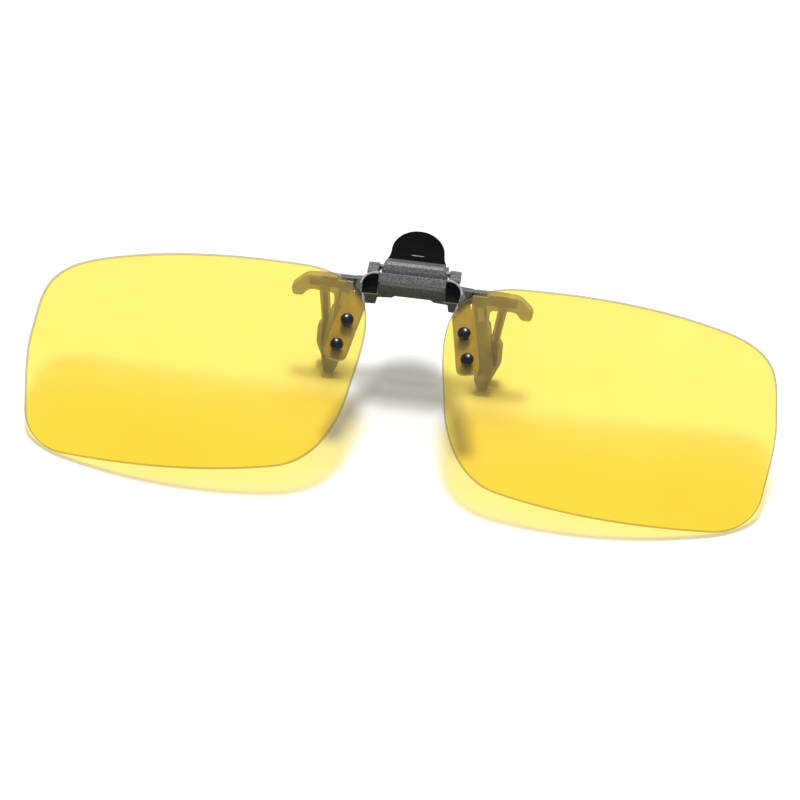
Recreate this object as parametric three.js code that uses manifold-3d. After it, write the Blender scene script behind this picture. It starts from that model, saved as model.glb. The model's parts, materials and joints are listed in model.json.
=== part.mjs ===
import * as THREE from "three";
import { mergeVertices } from "three/addons/utils/BufferGeometryUtils.js";
import Module from "manifold-3d";

// Clip-on flip-up sunglasses, lying on a table on the outer corners of their lenses and the tips
// of their claws. Millimetres, +X across the pair, +Z up, the lower edges of the lenses towards -Y.
//
// The lens frame is drawn upright in a group of its own: X across, Y towards the wearer, Z up.
// The clamp is drawn in a second group whose origin is the flip axis, its claws hanging along -Z,
// and the jaw in a third whose origin is the jaw axis. Outlines are [across, up] pairs.

const DEGREE = Math.PI / 180;

// How the object lies: the tilt of the lens frame off the table, and the fold of the clamp behind it
const TABLE_TILT = 28.4 * DEGREE;
const FLIP_REST = 39 * DEGREE;

// Lenses: a spherical blank, edged to the rim. Each rim point is [out, up, direction of the rim]
const LENS_RADIUS = 120;
const LENS_THICKNESS = 1.0;
const LENS_CENTRE_X = 44.1;
const LENS_WRAP = 8 * DEGREE;
const BLANK_REACH = 41;
const RIM = [
  [24.8, 3.4, 97],
  [23.6, 11.2, 110],
  [14.0, 17.4, 169],
  [-23.9, 19.9, 181],
  [-36.0, 12.6, 256],
  [-35.1, -3.0, 278],
  [-23.8, -18.4, 347],
  [15.1, -19.7, 7],
  [23.7, -11.9, 83],
];

// Straps behind the lenses, in the lens's own [out, up], and the rivets that hold them
const STRAP_GAP = 0.12;
const STRAP_THICKNESS = 1.1;
const STRAP = [
  [-34.9, 16.3, 0.2],
  [-35.5, 13.8, 1.5],
  [-33.4, 2.6, 1.6],
  [-29.3, 3.0, 1.9],
  [-31.3, 12.3, 2.5],
  [-32.6, 16.3, 0.2],
];
const RIVETS = { upper: [-32.9, 10.1], lower: [-31.8, 5.2] };
const RIVET_SHANK = 0.7;
const RIVET_HEAD = 1.22;
const RIVET_DOME = 0.78;
const RIVET_TAIL = 1.05;
const WASHER_RADIUS = 1.4;
const WASHER_THICKNESS = 0.28;

// Bridge of the lens frame: the crossbar, the arms and the ears round the flip pin
const FLIP_Y = 4.0;
const FLIP_Z = 22.3;
const BAR_HALF = 6.2;
const BAR_LOW = 18.4;
const BAR_TOP = 20.2;
const ARM_FRONT = 0.5;
const BAR_BACK = 2.3;
const ARM_BACK = 3.0;
const ARM_TOP = 20.4;
const ARM_RADIUS = 4.0;
const ARM_HOLLOW_RADIUS = 2.2;
const ARM_HOLLOW_X = 6.8;
const ARM_HOLLOW_Z = 17.65;
const WEB_LOW = 16.6;
const EAR_INNER = 6.5;
const EAR_OUTER = 8.5;

// Pins
const FLIP_PIN_RADIUS = 0.6;
const JAW_PIN_RADIUS = 0.55;
const RUNNING_CLEARANCE = 0.07;
const PRESS_CLEARANCE = 0.03;

// Clamp body: half its width, and the front and back of its plate
const BODY_HALF = 6.0;
const PLATE_FRONT = -0.6;
const PLATE_BACK = 0.9;
const ARM_REACH = 10.7;
const JAW_Y = 3.5;
const JAW_Z = -1.2;
const LUG_INNER = 4.65;
const LUG_OUTER = 5.9;
const LUG_RADIUS = 1.25;

// Claws: blades of one thickness inside soft sleeves. A limb is [from x, z, to x, z, width], and so
// is the window
const BLADE = 0.7;
const BLADE_CLEARANCE = 0.1;
const FRONT_CLAW_Y = 0.15;
const REAR_CLAW_Y = 2.55;
const FRONT_LIMBS = [
  [8.3, -4.35, 12.6, -4.35, 1.5],
  [12.3, -3.6, 14.35, -18.9, 2.0],
  [12.6, -4.35, 19.2, -4.35, 1.2],
];
const WINDOW = [12.55, -5.6, 12.94, -8.6, 1.3];
const REAR_LIMBS = [
  [8.4, -4.5, 16.6, -4.5, 1.3],
  [16.75, -4.2, 15.8, -14.0, 0.7],
  [15.72, -13.4, 15.57, -18.0, 1.6],
];

// Sleeve outlines, as [across, up, corner radius]
const FRONT_STRIP = [
  [11.0, -3.15, 0.2],
  [13.8, -3.15, 0.2],
  [14.1, -2.65, 0.2],
  [17.7, -2.55, 0.2],
  [17.7, -5.6, 0.2],
  [14.35, -5.75, 0.9],
  [14.35, -8.4, 0.3],
  [14.8, -8.9, 0.4],
  [15.95, -17.0, 2.5],
  [15.9, -19.2, 2.5],
  [15.2, -21.9, 1.4],
  [13.8, -22.15, 1.3],
  [12.75, -20.0, 2.5],
  [12.3, -15.0, 2.0],
  [11.1, -7.4, 0.8],
  [11.0, -5.7, 0.3],
];
const FRONT_HOOK = [
  [17.2, -2.6, 0.1],
  [19.7, -2.65, 3.0],
  [22.5, -5.2, 1.8],
  [22.0, -7.1, 0.9],
  [20.2, -6.9, 0.9],
  [19.2, -5.6, 1.4],
  [17.2, -5.5, 0.1],
];
const REAR_SLEEVE = [
  [11.3, -3.45, 0.3],
  [17.45, -3.45, 1.0],
  [17.4, -7.0, 0.4],
  [16.6, -12.5, 0.5],
  [17.3, -13.6, 1.2],
  [17.3, -17.0, 1.8],
  [15.3, -21.6, 1.5],
  [13.8, -18.6, 1.8],
  [13.8, -13.0, 1.4],
  [15.05, -12.1, 0.5],
  [15.8, -6.0, 0.6],
  [14.8, -5.7, 0.4],
  [11.3, -5.7, 0.3],
];

// Thumb tab: a dished plate that leans back from the jaw axis
const TAB_LEAN = 23 * DEGREE;
const TAB_DISH_RADIUS = 13;
const TAB_THICKNESS = 1.1;
const TAB_MIDDLE = 3.2;

const SILVER = { color: 0xb9bcc0, roughness: 0.35, metalness: 1.0 };
const BLACK = { color: 0x3a3b3d, roughness: 0.6, metalness: 0.0 };
const GLOSS_BLACK = { color: 0x0c0c0d, roughness: 0.25, metalness: 0.0 };
const DARK_METAL = { color: 0x4a4743, roughness: 0.45, metalness: 0.8 };
const SMOKE = { color: 0xa39b86, roughness: 0.45, metalness: 0.0, transparent: true, opacity: 0.8 };
const YELLOW = { color: 0xffe04a, roughness: 0.05, metalness: 0.0, transparent: true, opacity: 0.5 };

const wasm = await Module();
wasm.setup();

// ---- solids: joining and cutting ----

function toSolid(geometry) {
  const bare = geometry.clone();
  bare.deleteAttribute("normal");
  bare.deleteAttribute("uv");
  const merged = mergeVertices(bare, 1e-4);
  const corners = merged.index.array;
  const kept = [];
  for (let i = 0; i < corners.length; i += 3) {
    const [a, b, c] = corners.slice(i, i + 3);
    if (a !== b && b !== c && c !== a) kept.push(a, b, c);
  }
  const mesh = new wasm.Mesh({
    numProp: 3,
    vertProperties: merged.attributes.position.array,
    triVerts: new Uint32Array(kept),
  });
  return new wasm.Manifold(mesh);
}

function fromSolid(solid) {
  const mesh = solid.getMesh();
  return new THREE.BufferGeometry()
    .setAttribute("position", new THREE.BufferAttribute(mesh.vertProperties, 3))
    .setIndex(new THREE.BufferAttribute(mesh.triVerts, 1));
}

const combine = (operation) => (first, ...others) =>
  fromSolid(others.map(toSolid).reduce((sum, next) => sum[operation](next), toSolid(first)));
const join = combine("add");
const cut = combine("subtract");
const overlap = combine("intersect");

// The same geometry on the other side of the middle plane, its faces turned back outwards
function mirrored(geometry) {
  const other = mergeVertices(geometry.clone().scale(-1, 1, 1));
  const corners = other.index.array;
  for (let i = 0; i < corners.length; i += 3) {
    [corners[i + 1], corners[i + 2]] = [corners[i + 2], corners[i + 1]];
  }
  return other;
}

const bothSides = (geometry) => [geometry, mirrored(geometry)];

// ---- outlines and the solids made from them ----

// A polygon whose corners, [across, up, radius], are rounded off
function roundedOutline(corners) {
  const shape = new THREE.Shape();
  corners.forEach(([x, y, radius], i) => {
    const corner = new THREE.Vector2(x, y);
    const before = new THREE.Vector2(...corners.at(i - 1).slice(0, 2)).sub(corner);
    const after = new THREE.Vector2(...corners[(i + 1) % corners.length].slice(0, 2)).sub(corner);
    const halfAngle = Math.abs(before.angleTo(after)) / 2;
    const room = Math.min(before.length(), after.length()) * 0.48;
    const reach = Math.min(radius / Math.tan(halfAngle), room);
    const start = before.setLength(reach).add(corner);
    const end = after.setLength(reach).add(corner);
    if (i === 0) shape.moveTo(start.x, start.y);
    else shape.lineTo(start.x, start.y);
    shape.quadraticCurveTo(x, y, end.x, end.y);
  });
  shape.closePath();
  return shape;
}

// A closed curve through points that each give its direction there, with handles as on an arc
function directedOutline(points) {
  const shape = new THREE.Shape().moveTo(points[0][0], points[0][1]);
  points.forEach(([x, y, angle], i) => {
    const [nextX, nextY, nextAngle] = points[(i + 1) % points.length];
    const turn = ((((nextAngle - angle) % 360) + 360) % 360) * DEGREE;
    const chord = Math.hypot(nextX - x, nextY - y);
    const handle = ((4 / 3) * Math.tan(turn / 4) * chord) / (2 * Math.sin(turn / 2));
    shape.bezierCurveTo(
      x + handle * Math.cos(angle * DEGREE),
      y + handle * Math.sin(angle * DEGREE),
      nextX - handle * Math.cos(nextAngle * DEGREE),
      nextY - handle * Math.sin(nextAngle * DEGREE),
      nextX,
      nextY,
    );
  });
  return shape;
}

// An [across, up] outline with its thickness from one depth to another
function slab(shape, front, back, curveSegments = 5) {
  const options = { depth: back - front, bevelEnabled: false, curveSegments };
  return new THREE.ExtrudeGeometry(shape, options).rotateX(Math.PI / 2).translate(0, back, 0);
}

// A [depth, up] outline carried across from x0 to x1
function bar(points, x0, x1) {
  const shape = new THREE.Shape(points.map(([y, z]) => new THREE.Vector2(y, z)));
  const options = { depth: x1 - x0, bevelEnabled: false };
  const turn = new THREE.Matrix4().makeBasis(
    new THREE.Vector3(0, 1, 0),
    new THREE.Vector3(0, 0, 1),
    new THREE.Vector3(1, 0, 0),
  );
  return new THREE.ExtrudeGeometry(shape, options).applyMatrix4(turn).translate(x0, 0, 0);
}

function block(x0, x1, y0, y1, z0, z1) {
  const box = new THREE.BoxGeometry(x1 - x0, y1 - y0, z1 - z0);
  return box.translate((x0 + x1) / 2, (y0 + y1) / 2, (z0 + z1) / 2);
}

function rod(radius, x0, x1, y, z, sides = 20) {
  const cylinder = new THREE.CylinderGeometry(radius, radius, x1 - x0, sides);
  return cylinder.rotateZ(Math.PI / 2).translate((x0 + x1) / 2, y, z);
}

// A spherical shell round the Y axis, its outer surface crossing the axis at y = nose
function bowl(outerRadius, thickness, nose, reach, rings, sides) {
  const centre = nose + outerRadius;
  const surface = (radius) => (i) => {
    const r = (reach * i) / rings;
    return new THREE.Vector2(r, centre - Math.sqrt(radius * radius - r * r));
  };
  const steps = Array.from({ length: rings + 1 }, (_, i) => i);
  const outside = steps.map(surface(outerRadius));
  const inside = steps.map(surface(outerRadius - thickness)).reverse();
  return new THREE.LatheGeometry([...outside, ...inside], sides);
}

// A flat limb of a blade from one point to another, with its ends and sides grown
function limb([x0, z0, x1, z1, width], middle, grow = 0) {
  const length = Math.hypot(x1 - x0, z1 - z0);
  const box = new THREE.BoxGeometry(length + 2 * grow, BLADE + 2 * grow, width + 2 * grow);
  const turned = box.rotateY(-Math.atan2(z1 - z0, x1 - x0));
  return turned.translate((x0 + x1) / 2, middle, (z0 + z1) / 2);
}

const blade = (limbs, middle, grow = 0) =>
  join(...limbs.map((each) => limb(each, middle, grow)));

// ---- the lens frame ----

const rim = directedOutline(RIM);
const lensBlank = () =>
  bowl(LENS_RADIUS + LENS_THICKNESS, LENS_THICKNESS, -LENS_THICKNESS, BLANK_REACH, 8, 40);
const strapBlank = (grow) =>
  bowl(
    LENS_RADIUS - STRAP_GAP + grow,
    STRAP_THICKNESS + 2 * grow,
    STRAP_GAP - grow,
    BLANK_REACH,
    10,
    48,
  );

// Puts something built round the Y axis, nose at -Y, square to the back of the lens
function onLens(geometry, [out, up]) {
  const sag = LENS_RADIUS - Math.sqrt(LENS_RADIUS ** 2 - out ** 2 - up ** 2);
  const seat = new THREE.Vector3(out, sag, up);
  const outward = new THREE.Vector3(out, sag - LENS_RADIUS, up).normalize();
  const turn = new THREE.Quaternion().setFromUnitVectors(new THREE.Vector3(0, -1, 0), outward);
  return geometry.applyQuaternion(turn).translate(seat.x, seat.y, seat.z);
}

function rivetHole(place) {
  const hole = new THREE.CylinderGeometry(RIVET_SHANK + 0.05, RIVET_SHANK + 0.05, 8, 20);
  return onLens(hole, place);
}

const rivetHoles = () => Object.values(RIVETS).map(rivetHole);

function lens() {
  return cut(overlap(lensBlank(), slab(rim, -4, 14, 6)), ...rivetHoles());
}

function lensPlate() {
  const plate = overlap(strapBlank(0), slab(roundedOutline(STRAP), -4, 14));
  return cut(plate, ...rivetHoles());
}

const STRAP_BACK = STRAP_GAP + STRAP_THICKNESS;
const WASHER_FRONT = STRAP_BACK + 0.08;
const TAIL_FRONT = WASHER_FRONT + WASHER_THICKNESS + 0.03;

function rivet(place) {
  const seat = -LENS_THICKNESS - 0.03;
  const dome = [];
  for (let step = 0; step <= 4; step++) {
    const angle = (step / 4) * 90 * DEGREE;
    const out = RIVET_HEAD * Math.sin(angle);
    dome.push(new THREE.Vector2(out, seat - 0.12 - (RIVET_DOME - 0.12) * Math.cos(angle)));
  }
  const shank = [
    [RIVET_HEAD, seat],
    [RIVET_SHANK, seat],
    [RIVET_SHANK, TAIL_FRONT],
    [RIVET_TAIL, TAIL_FRONT],
    [RIVET_TAIL - 0.1, TAIL_FRONT + 0.35],
    [0, TAIL_FRONT + 0.42],
  ].map(([r, y]) => new THREE.Vector2(r, y));
  return onLens(new THREE.LatheGeometry([...dome, ...shank], 16), place);
}

function washer(place) {
  const bore = RIVET_SHANK + 0.05;
  const section = [
    [bore, WASHER_FRONT],
    [WASHER_RADIUS, WASHER_FRONT],
    [WASHER_RADIUS, WASHER_FRONT + WASHER_THICKNESS],
    [bore, WASHER_FRONT + WASHER_THICKNESS],
    [bore, WASHER_FRONT],
  ].map(([r, y]) => new THREE.Vector2(r, y));
  return onLens(new THREE.LatheGeometry(section, 16), place);
}

// From the lens's own axes to those of the lens frame, for cutting the bridge
function inLensFrame(geometry) {
  return geometry.rotateZ(LENS_WRAP).translate(LENS_CENTRE_X, 0, 0);
}

// Half of the bridge's arms: a quarter-round rim round a web, with a foot at the lens's corner
function bridgeArm() {
  const band = new THREE.Shape();
  band.moveTo(BAR_HALF - 0.8, ARM_TOP);
  band.absarc(BAR_HALF, ARM_TOP - ARM_RADIUS, ARM_RADIUS, 90 * DEGREE, 10 * DEGREE, true);
  band.lineTo(11.4, 15.4);
  band.lineTo(9.2, 13.7);
  band.lineTo(8.6, 14.2);
  band.absarc(ARM_HOLLOW_X, ARM_HOLLOW_Z, ARM_HOLLOW_RADIUS, 0, 90 * DEGREE, false);
  band.lineTo(BAR_HALF - 0.8, ARM_HOLLOW_Z + ARM_HOLLOW_RADIUS);
  const front = slab(band, ARM_FRONT, BAR_BACK, 10);
  const deep = overlap(slab(band, BAR_BACK - 0.1, ARM_BACK, 10), block(BAR_HALF, 14, 0, 6, 10, 24));
  const behind = roundedOutline([
    [BAR_HALF - 0.2, WEB_LOW, 0],
    [9.1, WEB_LOW, 0],
    [9.1, 20.0, 2.1],
    [BAR_HALF - 0.2, 20.0, 0],
  ]);
  return join(front, deep, slab(behind, ARM_BACK - 0.8, ARM_BACK));
}

function bridgeEar() {
  const profile = [
    [1.5, BAR_TOP],
    [2.9, BAR_TOP],
    [3.5, 21.25],
    [5.1, 21.25],
    [5.4, 21.6],
    [5.4, 23.0],
    [5.1, 23.2],
    [3.1, 22.9],
    [2.6, 22.4],
    [2.6, 21.9],
    [1.5, 20.8],
  ];
  return bar(profile, EAR_INNER, EAR_OUTER);
}

function bridge() {
  const crossbar = block(-BAR_HALF, BAR_HALF, ARM_FRONT, BAR_BACK, BAR_LOW, BAR_TOP);
  const sides = [bridgeArm(), bridgeEar()].flatMap(bothSides);
  const bore = FLIP_PIN_RADIUS + PRESS_CLEARANCE;
  const clearOfLens = directedOutline(RIM.map(([x, y, angle]) => [x * 1.006, y * 1.01, angle]));
  const lensRoom = inLensFrame(slab(clearOfLens, -4, 14, 7));
  const strapSlot = overlap(strapBlank(0.1), slab(roundedOutline(STRAP.map(widened)), -4, 14));
  const cuts = [lensRoom, inLensFrame(strapSlot)].flatMap(bothSides);
  const pinHole = rod(bore, -EAR_OUTER - 1, EAR_OUTER + 1, FLIP_Y, FLIP_Z, 24);
  return cut(join(crossbar, ...sides), ...cuts, pinHole);
}

// The strap's outline with clearance for the slot that holds its top
function widened([out, up, radius]) {
  return [out + Math.sign(out + 33) * 0.1, up, radius];
}

function flipPin() {
  return rod(FLIP_PIN_RADIUS, -EAR_OUTER + 0.25, EAR_OUTER - 0.25, 0, 0, 24);
}

// ---- the clamp: origin on the flip axis ----

function bodyBar() {
  const profile = [
    [-1.4, -1.9],
    [-2.0, -1.4],
    [-2.1, -0.7],
    [-1.7, 0.3],
    [-1.1, 1.1],
    [-0.4, 1.5],
    [1.2, 1.5],
    [1.7, 1.1],
    [1.7, -2.6],
    [-0.6, -2.6],
  ];
  const front = [
    [-BODY_HALF, -2.7, 0],
    [BODY_HALF, -2.7, 0],
    [BODY_HALF, 0.1, 0.3],
    [5.2, 1.6, 0.1],
    [-5.2, 1.6, 0.1],
    [-BODY_HALF, 0.1, 0.3],
  ];
  return overlap(bar(profile, -7, 7), slab(roundedOutline(front), -3, 3));
}

// The plate below the bar, with its stepped lower edge, and the arms that hold the claws, each
// with a thin rib over the sleeve
function bodyPlate() {
  const half = [
    [0, -2.3],
    [0, -5.2],
    [3.3, -5.2],
    [3.9, -5.6],
    [6.5, -5.75],
    [6.75, -7.1],
    [9.4, -7.2],
    [9.9, -5.9],
    [ARM_REACH, -5.6],
    [ARM_REACH, -2.9],
    [13.5, -2.9],
    [13.6, -2.6],
    [8.9, -2.5],
    [6.4, -2.3],
  ];
  const shape = new THREE.Shape(half.map(([x, z]) => new THREE.Vector2(x, z)));
  return bothSides(slab(shape, PLATE_FRONT, PLATE_BACK));
}

function lug() {
  const web = block(LUG_INNER, LUG_OUTER, 1.3, JAW_Y, JAW_Z - LUG_RADIUS, JAW_Z + 1.0);
  return join(web, rod(LUG_RADIUS, LUG_INNER, LUG_OUTER, JAW_Y, JAW_Z, 24));
}

function clampBody() {
  const whole = join(bodyBar(), ...bodyPlate(), ...bothSides(lug()));
  const slot = limb(FRONT_LIMBS[0], FRONT_CLAW_Y, BLADE_CLEARANCE);
  const flipBore = rod(FLIP_PIN_RADIUS + RUNNING_CLEARANCE, -8, 8, 0, 0, 24);
  const jawBore = rod(JAW_PIN_RADIUS + PRESS_CLEARANCE, -8, 8, JAW_Y, JAW_Z, 24);
  const springPocket = block(-3.7, 3.7, 0.3, 3, -0.95, 0.95);
  return cut(whole, ...bothSides(slot), flipBore, jawBore, springPocket);
}

// A bowed leaf that bears on the flip pin with its middle
function detentSpring() {
  const half = 3.4;
  const thickness = 0.25;
  const depthAt = (x) => FLIP_PIN_RADIUS + 0.05 + 0.55 * (x / half) ** 2;
  const steps = Array.from({ length: 13 }, (_, i) => -half + (i * 2 * half) / 12);
  const near = steps.map((x) => new THREE.Vector2(x, depthAt(x)));
  const far = steps.map((x) => new THREE.Vector2(x, depthAt(x) + thickness)).reverse();
  const leaf = new THREE.ExtrudeGeometry(new THREE.Shape([...near, ...far]), {
    depth: 1.5,
    bevelEnabled: false,
  });
  return leaf.translate(0, 0, -0.75);
}

// The window through the front blade, which the sleeve fills
const clawWindow = (grow) => limb(WINDOW, 0, grow).scale(1, 6, 1);

function frontClaw() {
  return cut(blade(FRONT_LIMBS, FRONT_CLAW_Y), clawWindow(0));
}

function frontSleeve() {
  const front = FRONT_CLAW_Y - 1.1;
  const strip = slab(roundedOutline(FRONT_STRIP), front, FRONT_CLAW_Y + 1.1);
  const hook = slab(roundedOutline(FRONT_HOOK), front, FRONT_CLAW_Y + 0.95);
  const grown = blade(FRONT_LIMBS, FRONT_CLAW_Y, BLADE_CLEARANCE);
  return cut(join(strip, hook), cut(grown, clawWindow(-BLADE_CLEARANCE)));
}

// ---- the jaw: origin on the jaw axis ----

// The tab's outline, [across, distance from the jaw axis]
function tabOutline() {
  const shape = new THREE.Shape();
  shape.moveTo(-5.5, 1.4);
  shape.lineTo(5.5, 1.4);
  shape.quadraticCurveTo(4.95, 2.2, 4.9, 3.2);
  shape.absellipse(0, 3.2, 4.9, 3.95, 0, Math.PI, false, 0);
  shape.quadraticCurveTo(-4.95, 2.2, -5.5, 1.4);
  return shape;
}

function thumbTab() {
  const middle = TAB_THICKNESS / 2;
  const dish = bowl(TAB_DISH_RADIUS, TAB_THICKNESS, 0, 7.5, 6, 32).rotateX(Math.PI);
  dish.translate(0, middle, TAB_MIDDLE);
  const plate = overlap(dish, slab(tabOutline(), -4, 4, 16));
  const neck = block(-4.35, 4.35, -0.75, 0.55, 0.6, 2.6);
  return join(plate, neck).rotateX(-TAB_LEAN);
}

// The plate below the hub, with arms that hold the rear claws
function leverPlate() {
  const outline = [
    [0, -1.75],
    [4.3, -1.75],
    [ARM_REACH + 0.3, -2.2],
    [ARM_REACH + 0.3, -4.5],
    [5.0, -4.9],
    [0, -4.9],
  ];
  const shape = new THREE.Shape(outline.reverse().map(([x, z]) => new THREE.Vector2(x, z)));
  const middle = REAR_CLAW_Y - JAW_Y;
  return bothSides(slab(shape, middle - 0.7, middle + 0.7));
}

function thumbLever() {
  const knuckle = rod(1.2, 2.5, 4.4, 0, 0, 24);
  const profile = [
    [-1.0, -0.6],
    [-1.6, -2.4],
    [-0.3, -2.4],
    [1.0, -0.6],
  ];
  const stalk = bar(profile, 2.5, 4.4);
  const whole = join(thumbTab(), ...leverPlate(), ...bothSides(knuckle), ...bothSides(stalk));
  const bore = rod(JAW_PIN_RADIUS + RUNNING_CLEARANCE, -8, 8, 0, 0, 24);
  const springRoom = rod(1.55, -2.5, 2.5, 0, 0, 24);
  const slot = limb(REAR_LIMBS[0], REAR_CLAW_Y, BLADE_CLEARANCE).translate(0, -JAW_Y, -JAW_Z);
  return cut(whole, bore, springRoom, ...bothSides(slot));
}

// A coil round the jaw pin, one end on the body's back and the other on the lever's plate
function jawSpring() {
  const coil = 0.95;
  const turns = 5;
  const perTurn = 12;
  const half = 1.9;
  const path = [new THREE.Vector3(-half, -1.4, 1.1)];
  for (let step = 0; step <= turns * perTurn; step++) {
    const angle = 90 * DEGREE + (step / perTurn) * 2 * Math.PI;
    const x = -half + (2 * half * step) / (turns * perTurn);
    path.push(new THREE.Vector3(x, coil * Math.cos(angle), coil * Math.sin(angle)));
  }
  path.push(new THREE.Vector3(half, -1.2, 0.9));
  const wire = new THREE.Shape().absarc(0, 0, 0.2, 0, 2 * Math.PI, false);
  return new THREE.ExtrudeGeometry(wire, {
    extrudePath: new THREE.CatmullRomCurve3(path),
    steps: turns * perTurn,
    curveSegments: 3,
    bevelEnabled: false,
  });
}

function rearClaw() {
  return blade(REAR_LIMBS, REAR_CLAW_Y);
}

function rearSleeve() {
  const body = slab(roundedOutline(REAR_SLEEVE), REAR_CLAW_Y - 0.95, REAR_CLAW_Y + 0.95);
  return cut(body, blade(REAR_LIMBS, REAR_CLAW_Y, BLADE_CLEARANCE));
}

// ---- assembly ----

function piece(name, geometry, look) {
  const mesh = new THREE.Mesh(geometry, new THREE.MeshStandardMaterial(look));
  mesh.name = name;
  return mesh;
}

function half(side) {
  const group = new THREE.Group();
  group.scale.x = side === "left" ? -1 : 1;
  return group;
}

function lensSide(side) {
  const group = new THREE.Group();
  group.position.x = LENS_CENTRE_X;
  group.rotation.z = LENS_WRAP;
  group.add(piece(`lens_${side}`, lens(), YELLOW));
  group.add(piece(`lens_plate_${side}`, lensPlate(), SMOKE));
  for (const [level, place] of Object.entries(RIVETS)) {
    group.add(piece(`rivet_${side}_${level}`, rivet(place), GLOSS_BLACK));
    group.add(piece(`washer_${side}_${level}`, washer(place), SILVER));
  }
  return half(side).add(group);
}

function jaw() {
  const group = new THREE.Group();
  group.position.set(0, JAW_Y, JAW_Z);
  group.add(piece("thumb_lever", thumbLever(), GLOSS_BLACK));
  for (const side of ["left", "right"]) {
    const claws = half(side);
    claws.add(piece(`rear_claw_${side}`, rearClaw().translate(0, -JAW_Y, -JAW_Z), DARK_METAL));
    claws.add(piece(`rear_sleeve_${side}`, rearSleeve().translate(0, -JAW_Y, -JAW_Z), SMOKE));
    group.add(claws);
  }
  return group;
}

function clamp() {
  const group = new THREE.Group();
  group.position.set(0, FLIP_Y, FLIP_Z);
  group.rotation.x = FLIP_REST;
  group.add(piece("clamp_body", clampBody(), BLACK));
  group.add(piece("detent_spring", detentSpring(), SILVER));
  const jawPin = rod(JAW_PIN_RADIUS, -LUG_OUTER + 0.1, LUG_OUTER - 0.1, JAW_Y, JAW_Z, 24);
  group.add(piece("jaw_pin", jawPin, SILVER));
  group.add(piece("jaw_spring", jawSpring().translate(0, JAW_Y, JAW_Z), SILVER));
  for (const side of ["left", "right"]) {
    const claws = half(side);
    claws.add(piece(`front_claw_${side}`, frontClaw(), DARK_METAL));
    claws.add(piece(`front_sleeve_${side}`, frontSleeve(), SMOKE));
    group.add(claws);
  }
  return group.add(jaw());
}

const lensFrame = new THREE.Group();
lensFrame.rotation.x = TABLE_TILT - 90 * DEGREE;
lensFrame.add(lensSide("left"), lensSide("right"));
lensFrame.add(piece("bridge", bridge(), BLACK));
lensFrame.add(piece("flip_pin", flipPin().translate(0, FLIP_Y, FLIP_Z), SILVER));
lensFrame.add(clamp());

// The origin is on the table, below the middle of the object's box
const part = new THREE.Group().add(lensFrame);
part.updateMatrixWorld(true);
const box = new THREE.Box3().setFromObject(part, true);
const middle = box.getCenter(new THREE.Vector3());
lensFrame.position.set(-middle.x, -middle.y, -box.min.z);

export default part;
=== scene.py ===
import json
import math

import bmesh
import bpy
from mathutils import Matrix, Quaternion, Vector


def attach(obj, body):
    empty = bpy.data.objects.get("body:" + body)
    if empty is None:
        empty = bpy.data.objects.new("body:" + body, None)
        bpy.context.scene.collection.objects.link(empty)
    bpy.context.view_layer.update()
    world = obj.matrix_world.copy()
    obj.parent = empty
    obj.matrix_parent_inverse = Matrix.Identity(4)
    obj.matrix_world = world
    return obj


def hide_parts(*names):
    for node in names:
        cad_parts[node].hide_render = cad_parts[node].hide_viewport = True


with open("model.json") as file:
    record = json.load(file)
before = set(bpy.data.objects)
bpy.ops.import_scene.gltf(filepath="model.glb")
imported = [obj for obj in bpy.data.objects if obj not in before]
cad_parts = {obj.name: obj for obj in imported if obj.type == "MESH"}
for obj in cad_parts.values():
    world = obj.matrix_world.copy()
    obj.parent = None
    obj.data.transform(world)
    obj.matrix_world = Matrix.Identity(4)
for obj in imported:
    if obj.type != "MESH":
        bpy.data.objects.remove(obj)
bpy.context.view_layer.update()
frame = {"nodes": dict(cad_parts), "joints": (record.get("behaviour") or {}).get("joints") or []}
nodes = frame["nodes"]
hinges = {joint["name"]: Vector(joint["pos_m"]) for joint in frame["joints"]}

# Shapes are drawn in millimetres, in the axes of the lens frame, the clamp or the jaw
MM = 0.001
DEGREE = math.pi / 180

# ---- dimensions that the CAD part is built on ----

TABLE_TILT = 28.4 * DEGREE
FLIP_REST = 39 * DEGREE
FLIP_AXIS = Vector((0, 4.0, 22.3))
JAW_AXIS = Vector((0, 3.5, -1.2))

LENS_RADIUS = 120
LENS_THICKNESS = 1.0
LENS_CENTRE_X = 44.1
LENS_WRAP = 8 * DEGREE
# The outline of a lens: places across and up on it, and the direction in degrees that it takes there
LENS_RIM = [
    (24.8, 3.4, 97),
    (23.6, 11.2, 110),
    (14.0, 17.4, 169),
    (-23.9, 19.9, 181),
    (-36.0, 12.6, 256),
    (-35.1, -3.0, 278),
    (-23.8, -18.4, 347),
    (15.1, -19.7, 7),
    (23.7, -11.9, 83),
]
RIM_STEPS = 26
LENS_RINGS = 18
LENS_EDGE_ROUND = 0.16
LENS_EDGE_HOLD = 0.04

RIVETS = {"upper": (-32.9, 10.1), "lower": (-31.8, 5.2)}
RIVET_HEAD = 1.22
RIVET_DOME = 0.80
RIVET_SHANK = 0.7
RIVET_TAIL = 1.05
RIVET_GAP = 0.03
STRAP_BACK = 1.22
WASHER_FRONT = STRAP_BACK + 0.08
WASHER_THICKNESS = 0.28
WASHER_RADIUS = 1.4
TAIL_FRONT = WASHER_FRONT + WASHER_THICKNESS + RIVET_GAP

FLIP_PIN_RADIUS = 0.6
FLIP_PIN_HALF = 8.25
JAW_PIN_RADIUS = 0.55
JAW_PIN_HALF = 5.8

COIL_RADIUS = 0.95
COIL_TURNS = 5
COIL_HALF = 1.9
WIRE_RADIUS = 0.2

# The hollow in each arm of the bridge, which is given painted shade: the centre and radius of its
# rounded corner, where it starts across, up and back, then how far from that centre the painted
# highlight on the rim reaches and how low it comes
HOLLOW_CENTRE = (6.8, 17.65)
HOLLOW_RADIUS = 2.28
HOLLOW_START = 6.3
HOLLOW_LOW = 16.3
HOLLOW_FRONT = 0.75
HIGHLIGHT_REACH = 2.62
HIGHLIGHT_LOW = 17.8

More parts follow.
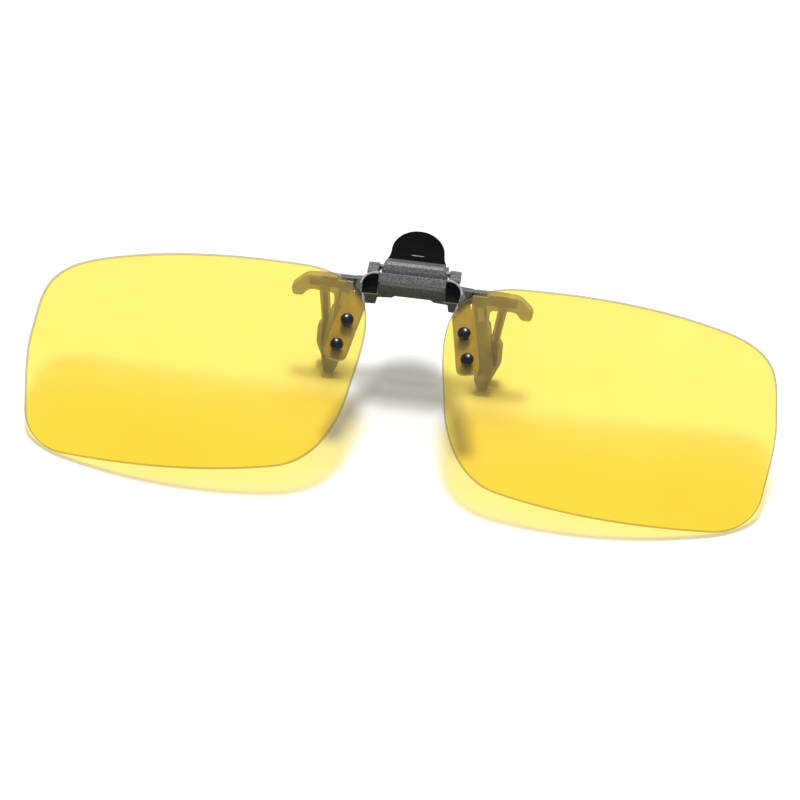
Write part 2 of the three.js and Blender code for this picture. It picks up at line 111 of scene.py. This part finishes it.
# How finely the CAD shapes are remeshed before their edges are rounded
VOXEL = 0.09
CLAW_VOXEL = 0.07
SHEET_VOXEL = 0.06

# ---- camera, floor and light ----

CAMERA_TARGET = Vector((-0.36, 2.94, 0)) * MM
CAMERA_DISTANCE = 591.8 * MM
CAMERA_AZIMUTH = 5.75 * DEGREE
CAMERA_ELEVATION = 46.25 * DEGREE
CAMERA_ROLL = 2.68 * DEGREE
CAMERA_FOCAL = 144
CAMERA_SENSOR = 36

FLOOR_HALF = 8.0
# Two suns behind the object: strength, lean off the vertical and spread
SUNS = {"high": (2.5, 22.5 * DEGREE, 12 * DEGREE), "low": (1.15, 36 * DEGREE, 28 * DEGREE)}
SUN_SIDE = 2 * DEGREE
SKY_STRENGTH = 0.31

SIDES = {"left": -1, "right": 1}


# ---- frames of the three bodies ----

tilt = Matrix.Rotation(TABLE_TILT - 90 * DEGREE, 4, "X")
fold = Matrix.Rotation(FLIP_REST, 4, "X")
to_metres = Matrix.Scale(MM, 4)
lens_frame = (
    Matrix.Translation(hinges["flip_hinge"]) @ tilt @ to_metres @ Matrix.Translation(-FLIP_AXIS)
)
clamp_frame = Matrix.Translation(hinges["flip_hinge"]) @ tilt @ fold @ to_metres
jaw_frame = clamp_frame @ Matrix.Translation(JAW_AXIS)


def lens_axes(side):
    """From a lens's own axes, X outwards, Y back and Z up, to the frame of the whole object."""
    mirror = Matrix.Diagonal((SIDES[side], 1, 1, 1))
    place = Matrix.Translation((LENS_CENTRE_X, 0, 0)) @ Matrix.Rotation(LENS_WRAP, 4, "Z")
    return lens_frame @ mirror @ place


def on_lens(out, up):
    """Something turned round the Y axis, set square to the back of the lens."""
    sag = LENS_RADIUS - math.sqrt(LENS_RADIUS**2 - out**2 - up**2)
    outward = Vector((out, sag - LENS_RADIUS, up)).normalized()
    turn = Vector((0, -1, 0)).rotation_difference(outward)
    return Matrix.Translation((out, sag, up)) @ turn.to_matrix().to_4x4()


# ---- materials ----


class Shading:
    """A new node material, with short ways to add and link its nodes."""

    def __init__(self, name):
        self.material = bpy.data.materials.new(name)
        self.material.use_nodes = True
        self.tree = self.material.node_tree
        self.tree.nodes.clear()
        self.output = self.tree.nodes.new("ShaderNodeOutputMaterial")
        self.place = self.tree.nodes.new("ShaderNodeTexCoord").outputs["Object"]

    def add(self, kind, inputs=None, **settings):
        node = self.tree.nodes.new("ShaderNode" + kind)
        for key, value in settings.items():
            setattr(node, key, value)
        for key, value in (inputs or {}).items():
            self.set(node, key, value)
        return node

    def set(self, node, key, value):
        if isinstance(value, bpy.types.NodeSocket):
            self.tree.links.new(value, node.inputs[key])
        else:
            node.inputs[key].default_value = value

    def noise(self, size_mm, detail=2.0, stretch=(1, 1, 1), roughness=0.55):
        """Noise from 0 to 1 whose lumps are about size_mm across."""
        mapping = self.add("Mapping", {"Vector": self.place, "Scale": stretch})
        inputs = {
            "Vector": mapping.outputs[0],
            "Scale": 1 / (size_mm * MM),
            "Detail": detail,
            "Roughness": roughness,
        }
        return self.add("TexNoise", inputs).outputs["Fac"]

    def ramp(self, value, *stops):
        """A colour or a grey that runs through (position, value) stops."""
        ramp = self.add("ValToRGB", {"Fac": value})
        elements = ramp.color_ramp.elements
        while len(elements) < len(stops):
            elements.new(0.5)
        for element, (position, colour) in zip(elements, stops):
            element.position = position
            element.color = (*colour, 1) if isinstance(colour, tuple) else (colour,) * 3 + (1,)
        return ramp.outputs["Color"]

    def mix(self, share, first, second):
        """Two colours mixed by a share."""
        mixer = self.add("Mix", data_type="RGBA")
        for key, value in ((0, share), (6, first), (7, second)):
            self.set(mixer, key, value)
        return mixer.outputs[2]

    def bump(self, height, depth_mm, strength=1.0):
        inputs = {"Height": height, "Distance": depth_mm * MM, "Strength": strength}
        return self.add("Bump", inputs).outputs[0]

    def edges(self, low, high):
        """1 on outer edges, 0 on flat faces and in hollows."""
        pointiness = self.add("NewGeometry").outputs["Pointiness"]
        return self.ramp(pointiness, (low, 0.0), (high, 1.0))

    def along(self, axis, low_mm, high_mm):
        """0 to 1 between two places along an axis of the object."""
        place = self.add("SeparateXYZ", {0: self.place}).outputs[axis]
        inputs = {"Value": place, "From Min": low_mm * MM, "From Max": high_mm * MM}
        return self.add("MapRange", inputs).outputs[0]

    def grazing(self, low, high):
        """0 on faces seen square on, 1 where they turn away."""
        facing = self.add("LayerWeight", {"Blend": 0.5}).outputs["Facing"]
        return self.ramp(facing, (low, 0.0), (high, 1.0))

    def mirror(self, ior):
        """The share that a thin sheet mirrors, the same from both of its sides."""
        head_on = ((ior - 1) / (ior + 1)) ** 2
        facing = self.add("LayerWeight", {"Blend": 0.5}).outputs["Facing"]
        grazing = self.add("Math", {0: facing, 1: 5.0}, operation="POWER").outputs[0]
        inputs = {0: grazing, 1: 1 - head_on, 2: head_on}
        return self.add("Math", inputs, operation="MULTIPLY_ADD").outputs[0]

    def principled(self, **inputs):
        named = {key.replace("_", " "): value for key, value in inputs.items()}
        return self.add("BsdfPrincipled", named).outputs[0]

    def finish(self, surface):
        self.tree.links.new(surface, self.output.inputs["Surface"])
        return self.material


def tinted_lens():
    """Clear yellow plastic, thin enough to pass light straight through, with a faint gloss."""
    haze_share = 0.03
    gloss_share = 0.25
    shade = Shading("yellow_tint")
    cloud = shade.noise(14, detail=1.0)
    tint = shade.ramp(cloud, (0.3, (0.998, 0.884, 0.380)), (0.7, (1.0, 0.896, 0.405)))
    clear = shade.add("BsdfTransparent", {"Color": tint}).outputs[0]
    haze = shade.add("BsdfDiffuse", {"Color": (1, 0.98, 0.92, 1)}).outputs[0]
    through = shade.add("MixShader", {0: haze_share, 1: clear, 2: haze}).outputs[0]
    smear = shade.ramp(shade.noise(6), (0.4, 0.06), (0.75, 0.13))
    gloss = shade.add("BsdfGlossy", {"Color": (1, 1, 1, 1), "Roughness": smear}).outputs[0]
    share = {0: shade.mirror(1.45), 1: gloss_share}
    mirrored = shade.add("Math", share, operation="MULTIPLY").outputs[0]
    blend = shade.add("MixShader", {0: mirrored, 1: through, 2: gloss}).outputs[0]
    return shade.finish(blend)


def lens_edge():
    """The cut edge of a lens, painted a darker amber than its face: painted shade standing in for
    the light the edge bends away.
    """
    shade = Shading("lens_edge")
    line = shade.noise(1.2, detail=3.0)
    amber = shade.ramp(line, (0.3, (0.18, 0.14, 0.03)), (0.7, (0.30, 0.235, 0.055)))
    surface = shade.principled(
        Base_Color=amber, Roughness=0.5, IOR=1.5, Specular_IOR_Level=0.1, Alpha=0.5
    )
    return shade.finish(surface)


def grained_black(name, smooth_mm, grained_mm):
    """Black plastic from a spark-grained mould, left smoother below a height of the object, with a
    painted highlight on its edges and painted shade where its faces turn from view.
    """
    shade = Shading(name)
    grained = shade.along("Z", smooth_mm, grained_mm)
    grain = shade.noise(0.18, detail=3.0, roughness=0.7)
    broad = shade.noise(2.6, detail=2.0)
    speckle = shade.ramp(grain, (0.42, 0.045), (0.54, 0.15), (0.68, 0.36))
    toned = shade.mix(shade.ramp(broad, (0.3, 0.0), (0.7, 0.3)), speckle, (0.05, 0.052, 0.058, 1))
    # Painted highlight: the edges are lightened to a pale grey
    lit_edges = shade.edges(0.54, 0.62)
    even = shade.ramp(broad, (0.3, (0.055, 0.058, 0.056)), (0.7, (0.085, 0.088, 0.086)))
    face = shade.mix(grained, even, toned)
    edge_sheen_and_low_tone = shade.mix(lit_edges, face, (0.46, 0.46, 0.47, 1))
    # Painted shade: the faces darken towards black where they turn from view
    colour = shade.mix(shade.grazing(0.55, 0.85), edge_sheen_and_low_tone, (0.012, 0.012, 0.014, 1))
    rough = shade.ramp(grain, (0.35, 0.55), (0.7, 0.32))
    normal = shade.bump(grain, 0.05, 0.5)
    surface = shade.principled(
        Base_Color=colour, Roughness=rough, Normal=normal, IOR=1.5, Specular_IOR_Level=0.35
    )
    return shade.finish(surface)


def smooth_black():
    """Black plastic moulded glossy, with faint flow marks and a painted highlight on its edges."""
    shade = Shading("smooth_black")
    flow = shade.noise(3.5, detail=3.0, stretch=(1, 2.4, 1))
    body = shade.ramp(flow, (0.3, 0.003), (0.75, 0.008))
    # Painted highlight: the edges are lightened to a dark grey
    colour = shade.mix(shade.edges(0.52, 0.6), body, (0.05, 0.047, 0.043, 1))
    rough = shade.ramp(flow, (0.3, 0.22), (0.75, 0.36))
    normal = shade.bump(shade.noise(0.9, detail=2.0), 0.012, 0.25)
    surface = shade.principled(
        Base_Color=colour, Roughness=rough, Normal=normal, IOR=1.5, Specular_IOR_Level=0.22
    )
    return shade.finish(surface)


def painted_rim_highlight():
    """Pale grey painted on the rims of the arms: a painted highlight for the light they catch,
    mottled a little.
    """
    shade = Shading("painted_rim_highlight")
    rim_mottle = shade.noise(0.5, detail=3.0)
    colour = shade.ramp(rim_mottle, (0.3, (0.30, 0.30, 0.31)), (0.7, (0.48, 0.48, 0.49)))
    rough = shade.ramp(rim_mottle, (0.3, 0.3), (0.7, 0.45))
    return shade.finish(shade.principled(Base_Color=colour, Roughness=rough, IOR=1.5))


def rivet_black():
    """Hard black enamel on the rivet heads."""
    shade = Shading("rivet_black")
    peel = shade.noise(0.5, detail=1.5)
    colour = shade.ramp(peel, (0.3, (0.006, 0.006, 0.009)), (0.7, (0.012, 0.012, 0.018)))
    rough = shade.ramp(peel, (0.3, 0.18), (0.7, 0.28))
    normal = shade.bump(peel, 0.01, 0.2)
    surface = shade.principled(Base_Color=colour, Roughness=rough, Normal=normal, IOR=1.5)
    return shade.finish(surface)


def soft_sleeve():
    """Cloudy soft plastic that lets the claw inside show."""
    shade = Shading("soft_sleeve")
    cloud = shade.noise(2.2, detail=3.0)
    clear = shade.ramp(cloud, (0.3, (0.43, 0.41, 0.46)), (0.7, (0.54, 0.51, 0.56)))
    # Darker towards the floor: this tone holds up to 2 mm and fades into the clearer one by 11 mm
    edge_sheen_and_low_tone = shade.ramp(cloud, (0.3, (0.21, 0.20, 0.20)), (0.7, (0.30, 0.285, 0.28)))
    body = shade.mix(shade.along("Z", 2, 11), edge_sheen_and_low_tone, clear)
    colour = shade.mix(shade.grazing(0.5, 0.9), body, (0.13, 0.115, 0.10, 1))
    rough = shade.ramp(shade.noise(0.5), (0.3, 0.34), (0.7, 0.5))
    normal = shade.bump(shade.noise(0.35, detail=3.0), 0.02, 0.35)
    surface = shade.principled(
        Base_Color=colour, Roughness=rough, Normal=normal, IOR=1.45, Alpha=0.67
    )
    return shade.finish(surface)


def smoky_strap():
    """Smoky stiff plastic of the straps behind the lenses."""
    shade = Shading("smoky_strap")
    cloud = shade.noise(1.8, detail=3.0)
    colour = shade.ramp(cloud, (0.3, (0.33, 0.31, 0.36)), (0.7, (0.43, 0.40, 0.46)))
    rough = shade.ramp(cloud, (0.3, 0.35), (0.7, 0.5))
    normal = shade.bump(shade.noise(0.3, detail=2.0), 0.012, 0.3)
    surface = shade.principled(
        Base_Color=colour, Roughness=rough, Normal=normal, IOR=1.5, Alpha=0.78
    )
    return shade.finish(surface)


def brushed(name, dark, light, rough_low, rough_high, stretch):
    """Metal with fine drawing lines."""
    shade = Shading(name)
    lines = shade.noise(0.25, detail=3.0, stretch=stretch)
    colour = shade.ramp(lines, (0.3, dark), (0.7, light))
    rough = shade.ramp(lines, (0.3, rough_low), (0.7, rough_high))
    normal = shade.bump(lines, 0.01, 0.3)
    surface = shade.principled(Base_Color=colour, Metallic=1.0, Roughness=rough, Normal=normal)
    return shade.finish(surface)


def pale_floor():
    shade = Shading("pale_floor")
    return shade.finish(shade.principled(Base_Color=(0.9, 0.9, 0.9, 1), Roughness=0.9))


YELLOW = tinted_lens()
EDGE = lens_edge()
GRAINED = grained_black("grained_black", 0, 1)
GRAINED_ABOVE = grained_black("grained_above", 17.0, 18.2)
SMOOTH = smooth_black()
# Painted highlight for the rims of the bridge's arms
RIM_HIGHLIGHT = painted_rim_highlight()
RIVET = rivet_black()
SLEEVE = soft_sleeve()
STRAP = smoky_strap()
STEEL = brushed("drawn_steel", (0.42, 0.42, 0.43), (0.62, 0.62, 0.63), 0.22, 0.36, (0.1, 1, 1))
DARK_STEEL = brushed("dark_sheet", (0.10, 0.09, 0.085), (0.17, 0.155, 0.14), 0.35, 0.5, (1, 1, 0.1))


# ---- building ----


def piece(name, mesh, body, materials, replaced):
    """Adds a finished mesh to the object, riding on its body in place of CAD nodes."""
    obj = bpy.data.objects.new(name, mesh)
    bpy.context.scene.collection.objects.link(obj)
    for material in materials:
        mesh.materials.append(material)
    for polygon in mesh.polygons:
        polygon.use_smooth = True
    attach(obj, body)
    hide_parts(*replaced)
    return obj


def applied(mesh, add_modifiers):
    """The mesh with modifiers applied."""
    holder = bpy.data.objects.new("holder", mesh)
    bpy.context.scene.collection.objects.link(holder)
    add_modifiers(holder)
    graph = bpy.context.evaluated_depsgraph_get()
    result = bpy.data.meshes.new_from_object(holder.evaluated_get(graph))
    bpy.data.objects.remove(holder)
    return result


def mesh_from(bm, name):
    mesh = bpy.data.meshes.new(name)
    bmesh.ops.recalc_face_normals(bm, faces=bm.faces)
    bm.to_mesh(mesh)
    bm.free()
    return mesh


def moulded(node, axes, voxel, rounds):
    """A CAD node's mesh with every edge rounded, as a mould or a press leaves it."""
    bm = bmesh.new()
    bm.from_mesh(nodes[node].data)
    bmesh.ops.transform(bm, matrix=axes.inverted(), verts=bm.verts)
    bmesh.ops.remove_doubles(bm, verts=bm.verts, dist=0.001)
    mesh = mesh_from(bm, node + "_rounded")

    def modifiers(holder):
        remesh = holder.modifiers.new("remesh", "REMESH")
        remesh.mode = "VOXEL"
        remesh.voxel_size = voxel
        smooth = holder.modifiers.new("smooth", "SMOOTH")
        smooth.factor = 0.5
        smooth.iterations = rounds

    rounded = applied(mesh, modifiers)
    rounded.transform(axes)
    if axes.determinant() < 0:
        rounded.flip_normals()
    return rounded


def turned(profile, steps=48):
    """A closed solid turned round the Y axis from (radius, y) points that start and end on it."""
    bm = bmesh.new()
    rings = []
    for radius, y in profile:
        if radius < 1e-6:
            rings.append([bm.verts.new((0, y, 0))])
            continue
        angles = [2 * math.pi * k / steps for k in range(steps)]
        rings.append(
            [bm.verts.new((radius * math.cos(a), y, radius * math.sin(a))) for a in angles]
        )
    for near, far in zip(rings, rings[1:]):
        join_rings(bm, near, far)
    return bm


def join_rings(bm, near, far, material=0):
    """Faces between two rings of vertices; either ring may be a single point."""
    count = max(len(near), len(far))
    for k in range(count):
        following = (k + 1) % count
        corners = [near[k % len(near)], near[following % len(near)]]
        corners += [far[following % len(far)], far[k % len(far)]]
        face = bm.faces.new(list(dict.fromkeys(corners)))
        face.material_index = material


# ---- lenses ----


def rim_points():
    """The rim as a closed curve through points that each give its direction there."""
    points = []
    for (x, y, angle), (next_x, next_y, next_angle) in zip(LENS_RIM, LENS_RIM[1:] + LENS_RIM[:1]):
        turn = ((next_angle - angle) % 360) * DEGREE
        chord = math.hypot(next_x - x, next_y - y)
        handle = 4 / 3 * math.tan(turn / 4) * chord / (2 * math.sin(turn / 2))
        p0, p3 = Vector((x, y)), Vector((next_x, next_y))
        p1 = p0 + handle * Vector((math.cos(angle * DEGREE), math.sin(angle * DEGREE)))
        back = Vector((math.cos(next_angle * DEGREE), math.sin(next_angle * DEGREE)))
        p2 = p3 - handle * back
        for step in range(RIM_STEPS):
            t = step / RIM_STEPS
            weights = ((1 - t) ** 3, 3 * t * (1 - t) ** 2, 3 * t * t * (1 - t), t**3)
            points.append(sum((w * p for w, p in zip(weights, (p0, p1, p2, p3))), Vector((0, 0))))
    return points


def lens_mesh():
    """A spherical shell edged to the rim, with its edges rounded."""
    outline = rim_points()
    centre = sum(outline, Vector((0, 0))) / len(outline)
    middle_radius = LENS_RADIUS + LENS_THICKNESS / 2
    bm = bmesh.new()

    def ring(share, inset, through):
        """A ring of the lens. through runs from -1 on the front face to 1 on the back."""
        made = []
        for point in outline:
            spoke = point - centre
            x, z = centre + spoke * share - spoke.normalized() * inset
            radius = middle_radius - through * LENS_THICKNESS / 2
            made.append(bm.verts.new((x, LENS_RADIUS - math.sqrt(radius**2 - x * x - z * z), z)))
        return made

    def pole(radius):
        """The single point in the middle of the front face or the back one."""
        sag = LENS_RADIUS - math.sqrt(radius**2 - centre.length_squared)
        return [bm.verts.new((centre.x, sag, centre.y))]

    # The rings lie a little closer together towards the rim
    shares = [(k / LENS_RINGS) ** 0.8 for k in range(1, LENS_RINGS)]
    rounding = LENS_EDGE_ROUND
    flat = 1 - 2 * rounding / LENS_THICKNESS
    turn = [k / 4 * 90 * DEGREE for k in range(5)]
    edge = [(rounding * (1 - math.sin(a)), -flat - (1 - flat) * math.cos(a)) for a in turn]
    edge += [(inset, -through) for inset, through in reversed(edge)]
    # A ring close to each edge keeps the shading of the faces flat up to it
    holding = rounding + LENS_EDGE_HOLD
    front = [pole(LENS_RADIUS + LENS_THICKNESS)] + [ring(share, 0, -1) for share in shares]
    front.append(ring(1, holding, -1))
    rim = [ring(1, inset, through) for inset, through in edge]
    back = [ring(1, holding, 1)] + [ring(share, 0, 1) for share in reversed(shares)]
    back.append(pole(LENS_RADIUS))
    rings = front + rim + back
    first_edge = len(front)
    for index, (near, far) in enumerate(zip(rings, rings[1:])):
        on_edge = first_edge <= index < first_edge + len(rim) - 1
        join_rings(bm, near, far, int(on_edge))
    return mesh_from(bm, "lens")


def lens(side):
    mesh = lens_mesh()
    mesh.transform(lens_axes(side))
    if SIDES[side] < 0:
        mesh.flip_normals()
    piece(f"lens_{side}_shell", mesh, "lens_frame", [YELLOW, EDGE], [f"lens_{side}"])


# ---- rivets and washers ----


def rivet_mesh():
    """A domed head in front of the lens, a shank and an upset tail behind the washer."""
    seat = -LENS_THICKNESS - RIVET_GAP
    skirt = 0.12
    dome = []
    for step in range(15):
        angle = step / 14 * 90 * DEGREE
        y = seat - skirt - (RIVET_DOME - skirt) * math.cos(angle)
        dome.append((RIVET_HEAD * math.sin(angle), y))
    foot = [(RIVET_HEAD, seat - 0.04), (RIVET_HEAD - 0.04, seat), (RIVET_SHANK, seat)]
    tail = [(RIVET_SHANK, TAIL_FRONT), (RIVET_TAIL - 0.05, TAIL_FRONT)]
    tail += [(RIVET_TAIL, TAIL_FRONT + 0.05)]
    tail += [(RIVET_TAIL - 0.02, TAIL_FRONT + 0.25), (RIVET_TAIL - 0.14, TAIL_FRONT + 0.36)]
    tail += [(RIVET_TAIL - 0.4, TAIL_FRONT + 0.41), (0, TAIL_FRONT + 0.42)]
    return turned(dome + foot + tail)


def washer_mesh():
    """A flat ring with its outer edge and its bore broken by the press."""
    bore, outside = RIVET_SHANK + 0.05, WASHER_RADIUS
    low, high = WASHER_FRONT, WASHER_FRONT + WASHER_THICKNESS
    bevel = 0.06
    section = [
        (bore, low + bevel),
        (bore + bevel, low),
        (outside - bevel, low),
        (outside, low + bevel),
        (outside, high - bevel),
        (outside - bevel, high),
        (bore + bevel, high),
        (bore, high - bevel),
    ]
    return turned(section + section[:1])


def fasteners(side):
    for level, (out, up) in RIVETS.items():
        axes = lens_axes(side) @ on_lens(out, up)
        for kind, bm, material, slot in (
            ("rivet", rivet_mesh(), RIVET, "rivet"),
            ("washer", washer_mesh(), STEEL, "steel"),
        ):
            bmesh.ops.remove_doubles(bm, verts=bm.verts, dist=1e-5)
            bmesh.ops.transform(bm, matrix=axes, verts=bm.verts)
            node = f"{kind}_{side}_{level}"
            piece(node + "_turned", mesh_from(bm, node), "lens_frame", [material], [node])


# ---- pins and springs ----


def pin(node, body, axes, radius, half):
    """A straight pin along X with chamfered, slightly crowned ends."""
    chamfer = 0.12
    crown = 0.03
    profile = [(0, -half - crown), (radius - chamfer, -half), (radius, -half + chamfer)]
    profile += [(r, -y) for r, y in reversed(profile)]
    bm = turned(profile, 40)
    across = Matrix.Rotation(-90 * DEGREE, 4, "Z")
    bmesh.ops.transform(bm, matrix=axes @ across, verts=bm.verts)
    piece(node + "_turned", mesh_from(bm, node), body, [STEEL], [node])


def wire_mesh(path, radius, sides=12):
    """A round wire along a path of points."""
    bm = bmesh.new()
    normal = None
    rings = []
    for index, point in enumerate(path):
        ahead = path[min(index + 1, len(path) - 1)] - path[max(index - 1, 0)]
        ahead.normalize()
        if normal is None:
            normal = ahead.orthogonal().normalized()
        normal = (normal - ahead * normal.dot(ahead)).normalized()
        across = ahead.cross(normal)
        angles = [2 * math.pi * k / sides for k in range(sides)]
        rings.append(
            [
                bm.verts.new(point + radius * (math.cos(a) * normal + math.sin(a) * across))
                for a in angles
            ]
        )
    for near, far in zip(rings, rings[1:]):
        join_rings(bm, near, far)
    bm.faces.new(reversed(rings[0]))
    bm.faces.new(rings[-1])
    return bm


def jaw_spring():
    """The coil round the jaw pin, with its two legs."""
    per_turn = 40
    path = [Vector((-COIL_HALF, -1.4, 1.1)), Vector((-COIL_HALF, -0.7, 1.03))]
    for step in range(COIL_TURNS * per_turn + 1):
        angle = 90 * DEGREE + step / per_turn * 2 * math.pi
        x = -COIL_HALF + 2 * COIL_HALF * step / (COIL_TURNS * per_turn)
        path.append(Vector((x, COIL_RADIUS * math.cos(angle), COIL_RADIUS * math.sin(angle))))
    path += [Vector((COIL_HALF, -0.6, 0.93)), Vector((COIL_HALF, -1.2, 0.9))]
    bm = wire_mesh(path, WIRE_RADIUS)
    bmesh.ops.transform(bm, matrix=jaw_frame, verts=bm.verts)
    mesh = mesh_from(bm, "jaw_spring")
    piece("jaw_spring_coil", mesh, "clamp", [STEEL], ["jaw_spring"])


# ---- everything that is moulded or pressed ----


def rounded_piece(node, body, material, axes, voxel, rounds):
    mesh = moulded(node, axes, voxel, rounds)
    return piece(node + "_rounded", mesh, body, [material], [node])


def finish_arms(bridge):
    """The bridge's arms: painted shade in their hollows, which take the smooth black, and a painted
    highlight along the rims.
    """
    bridge.data.materials.append(SMOOTH)
    bridge.data.materials.append(RIM_HIGHLIGHT)
    to_lens_frame = lens_frame.inverted()
    for polygon in bridge.data.polygons:
        x, y, z = to_lens_frame @ polygon.center
        if abs(x) < HOLLOW_START or z < HOLLOW_LOW:
            continue
        reach = math.hypot(max(abs(x) - HOLLOW_CENTRE[0], 0), max(z - HOLLOW_CENTRE[1], 0))
        # Painted shade: the smooth black in the hollow
        if reach < HOLLOW_RADIUS and y > HOLLOW_FRONT:
            polygon.material_index = 1
        # Painted highlight: the pale grey along the rim
        elif HOLLOW_RADIUS < reach < HIGHLIGHT_REACH and y < HOLLOW_FRONT and z > HIGHLIGHT_LOW:
            polygon.material_index = 2


def clip():
    bridge = rounded_piece(
        "bridge", "lens_frame", GRAINED, lens_frame, VOXEL, 4
    )
    finish_arms(bridge)
    rounded_piece("clamp_body", "clamp", GRAINED_ABOVE, clamp_frame, VOXEL, 4)
    rounded_piece("thumb_lever", "jaw", SMOOTH, clamp_frame, VOXEL, 5)
    rounded_piece("detent_spring", "clamp", STEEL, clamp_frame, SHEET_VOXEL, 1)
    flip_axes = lens_frame @ Matrix.Translation(FLIP_AXIS)
    pin("flip_pin", "lens_frame", flip_axes, FLIP_PIN_RADIUS, FLIP_PIN_HALF)
    pin("jaw_pin", "clamp", jaw_frame, JAW_PIN_RADIUS, JAW_PIN_HALF)
    jaw_spring()
    for side in SIDES:
        strap = f"lens_plate_{side}"
        rounded_piece(strap, "lens_frame", STRAP, lens_axes(side), VOXEL, 5)
        for row, body in (("front", "clamp"), ("rear", "jaw")):
            claw, sleeve = f"{row}_claw_{side}", f"{row}_sleeve_{side}"
            rounded_piece(claw, body, DARK_STEEL, clamp_frame, CLAW_VOXEL, 2)
            rounded_piece(sleeve, body, SLEEVE, clamp_frame, VOXEL, 12)


# ---- studio ----


def add_camera():
    data = bpy.data.cameras.new("camera")
    data.lens = CAMERA_FOCAL
    data.sensor_width = CAMERA_SENSOR
    data.clip_start = 0.01
    data.clip_end = 20
    camera = bpy.data.objects.new("camera", data)
    bpy.context.scene.collection.objects.link(camera)
    level = math.cos(CAMERA_ELEVATION)
    back = Vector(
        (
            math.sin(CAMERA_AZIMUTH) * level,
            -math.cos(CAMERA_AZIMUTH) * level,
            math.sin(CAMERA_ELEVATION),
        )
    )
    camera.location = CAMERA_TARGET + back * CAMERA_DISTANCE
    camera.rotation_mode = "QUATERNION"
    roll = Quaternion((0, 0, 1), CAMERA_ROLL)
    camera.rotation_quaternion = (-back).to_track_quat("-Z", "Y") @ roll
    bpy.context.scene.camera = camera


def add_floor():
    half = FLOOR_HALF
    bm = bmesh.new()
    corners = [(-half, -half, 0), (half, -half, 0), (half, half, 0), (-half, half, 0)]
    bm.faces.new([bm.verts.new(corner) for corner in corners])
    mesh = bpy.data.meshes.new("floor")
    bm.to_mesh(mesh)
    bm.free()
    floor = bpy.data.objects.new("floor", mesh)
    bpy.context.scene.collection.objects.link(floor)
    mesh.materials.append(pale_floor())


def add_light():
    for name, (strength, lean, spread) in SUNS.items():
        data = bpy.data.lights.new(name, "SUN")
        data.energy = strength
        data.angle = spread
        sun = bpy.data.objects.new(name, data)
        bpy.context.scene.collection.objects.link(sun)
        travel = Vector((math.tan(SUN_SIDE), -math.tan(lean), -1))
        sun.rotation_mode = "QUATERNION"
        sun.rotation_quaternion = travel.to_track_quat("-Z", "Y")
    sky = bpy.data.worlds.new("sky")
    sky.use_nodes = True
    background = sky.node_tree.nodes["Background"]
    background.inputs["Color"].default_value = (1, 1, 1, 1)
    background.inputs["Strength"].default_value = SKY_STRENGTH
    bpy.context.scene.world = sky
    bpy.context.scene.view_settings.view_transform = "Standard"


add_camera()
add_floor()
add_light()
for lens_side in SIDES:
    lens(lens_side)
    fasteners(lens_side)
clip()
